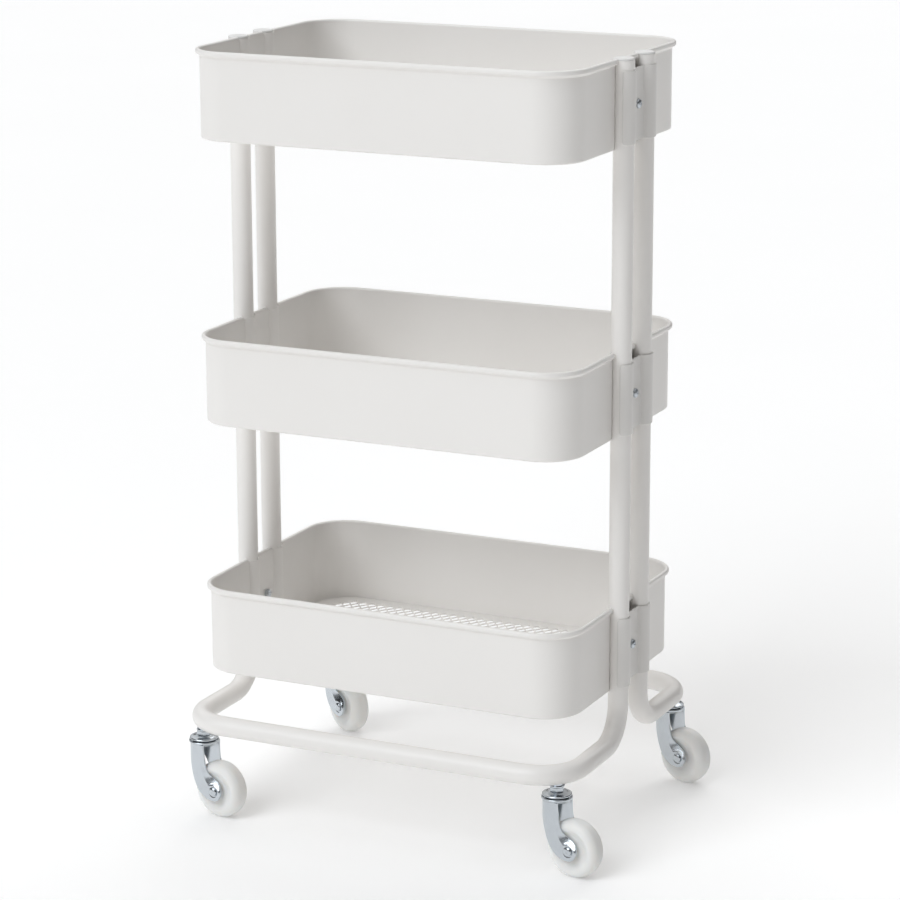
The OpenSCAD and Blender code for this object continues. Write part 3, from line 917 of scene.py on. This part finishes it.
def add_casters():
    insert_z = box_mm("caster_inserts")[0][2]
    for corner in CORNERS:
        pivot = Vector(JOINTS[f"{corner}_swivel"]["pos_m"]) / MM
        hub = Vector(JOINTS[f"{corner}_roll"]["pos_m"]) / MM
        reach = (hub - pivot).xy
        trail, axle_z = reach.length, hub.z
        turn = Matrix.Rotation(math.atan2(reach.y, reach.x), 4, "Z")
        place = Matrix.Translation(Vector((pivot.x, pivot.y, 0)) * MM) @ turn
        at_hub = Matrix.Translation(hub * MM) @ turn
        name = f"{corner}_caster"
        add_piece(f"{corner}_stem", f"{name}_stem", hexagon_stem(insert_z - 0.02), ZINC, place=place)
        add_piece(f"{corner}_race", f"{name}_race", [upper_race()], ZINC, sharp=50, place=place)
        add_piece(f"{corner}_fork_shell", f"{name}_fork", fork(trail, axle_z), ZINC, sharp=50, place=place)
        add_piece(f"{corner}_rivet", f"{name}_axle", [axle(trail, axle_z)], ZINC, sharp=50, place=place)
        add_piece(f"{corner}_wheel_nylon", f"{name}_wheel", [wheel(axle_z)], NYLON, sharp=50, place=at_hub)


# ---- Stage ----


def finish_cad_nodes():
    """CAD nodes that stay in view, such as the balls, get their slot's finish."""
    for name, node in frame["nodes"].items():
        if not node.hide_render:
            node.data.materials.clear()
            node.data.materials.append(FINISHES[SLOT_OF[name]])
            node.data.shade_smooth()
            node.data.set_sharp_from_angle(angle=math.radians(35))


def add_floor():
    """Pale floor that reaches far past the picture, with a little light of its own."""
    half_width_m = 40
    bm = bmesh.new()
    bmesh.ops.create_grid(bm, x_segments=1, y_segments=1, size=half_width_m)
    mesh = bpy.data.meshes.new("studio_floor")
    bm.to_mesh(mesh)
    bm.free()
    floor = bpy.data.objects.new("studio_floor", mesh)
    bpy.context.scene.collection.objects.link(floor)
    material, tree, shader = new_material("pale_floor", specular=0.1)
    colour = blend_colours(tree, noise(tree, 2), (0.905, 0.90, 0.895), (0.925, 0.92, 0.915))
    tree.links.new(colour, shader.inputs["Base Color"])
    shader.inputs["Roughness"].default_value = 0.8
    shader.inputs["Emission Color"].default_value = (1, 1, 1, 1)
    shader.inputs["Emission Strength"].default_value = 0.15
    mesh.materials.append(material)


def add_sun(name, azimuth, elevation, strength, spread, colour=(1, 1, 1)):
    """Soft light from one side, as from a large distant softbox. Azimuth 0 is the front, -90 the
    left. spread is the softbox's width in degrees."""
    turn, tilt = math.radians(azimuth), math.radians(elevation)
    towards = Vector((math.sin(turn) * math.cos(tilt), -math.cos(turn) * math.cos(tilt), math.sin(tilt)))
    light = bpy.data.lights.new(name, "SUN")
    light.energy = strength
    light.color = colour
    light.angle = math.radians(spread)
    lamp = bpy.data.objects.new(name, light)
    lamp.rotation_mode = "QUATERNION"
    lamp.rotation_quaternion = towards.to_track_quat("Z", "Y")
    bpy.context.scene.collection.objects.link(lamp)


def add_world():
    """Dim surroundings, lighter on the left, so that the floor and the lamps do most of the work.
    Seen directly, above the floor's far edge, they are plain white."""
    lighter_side = Vector((-0.8, -0.5, 0.3)).normalized()
    world = bpy.data.worlds.new("studio")
    world.use_nodes = True
    tree = world.node_tree
    coords = tree.nodes.new("ShaderNodeTexCoord")
    side = tree.nodes.new("ShaderNodeVectorMath")
    side.operation = "DOT_PRODUCT"
    side.inputs[1].default_value = lighter_side
    ranged = tree.nodes.new("ShaderNodeMapRange")
    ranged.inputs["From Min"].default_value = -0.6
    ranged.inputs["To Min"].default_value = 0.0
    ranged.inputs["To Max"].default_value = 0.04
    tree.links.new(coords.outputs["Generated"], side.inputs[0])
    tree.links.new(side.outputs["Value"], ranged.inputs["Value"])
    ray = tree.nodes.new("ShaderNodeLightPath")
    brightness = tree.nodes.new("ShaderNodeMath")
    brightness.operation = "MAXIMUM"
    tree.links.new(ranged.outputs["Result"], brightness.inputs[0])
    tree.links.new(ray.outputs["Is Camera Ray"], brightness.inputs[1])
    background = tree.nodes["Background"]
    background.inputs["Color"].default_value = (1.0, 0.997, 0.99, 1)
    tree.links.new(brightness.outputs["Value"], background.inputs["Strength"])
    bpy.context.scene.world = world


def add_camera():
    """The photograph's viewpoint."""
    azimuth, elevation, roll = np.radians([25.47, 14.34, -0.19])
    aim = Vector((0.0327, -0.0431, 0.3810))
    distance = 3.2346
    back = Vector(
        (
            math.sin(azimuth) * math.cos(elevation),
            -math.cos(azimuth) * math.cos(elevation),
            math.sin(elevation),
        )
    )
    right = (-back).cross(Vector((0, 0, 1))).normalized()
    up = right.cross(-back)
    right, up = right * math.cos(roll) + up * math.sin(roll), up * math.cos(roll) - right * math.sin(roll)
    camera = bpy.data.cameras.new("camera")
    camera.sensor_width = 36
    camera.lens = 130.15
    camera.clip_end = 200
    viewer = bpy.data.objects.new("camera", camera)
    rotation = Matrix((right, up, back)).transposed()
    viewer.matrix_world = Matrix.Translation(aim + back * distance) @ rotation.to_4x4()
    bpy.context.scene.collection.objects.link(viewer)
    bpy.context.scene.camera = viewer


add_legs()
add_trays()
add_clamps()
add_screws()
add_casters()
finish_cad_nodes()
add_floor()
add_sun("key", azimuth=-20, elevation=38, strength=1.70, spread=45, colour=(0.94, 0.97, 1.0))
add_sun("rear_left", azimuth=-140, elevation=38, strength=0.5, spread=50)
add_sun("rear", azimuth=180, elevation=38, strength=0.7, spread=40)
add_sun("overhead", azimuth=0, elevation=90, strength=1.1, spread=60)
add_world()
add_camera()
bpy.context.scene.view_settings.view_transform = "Standard"
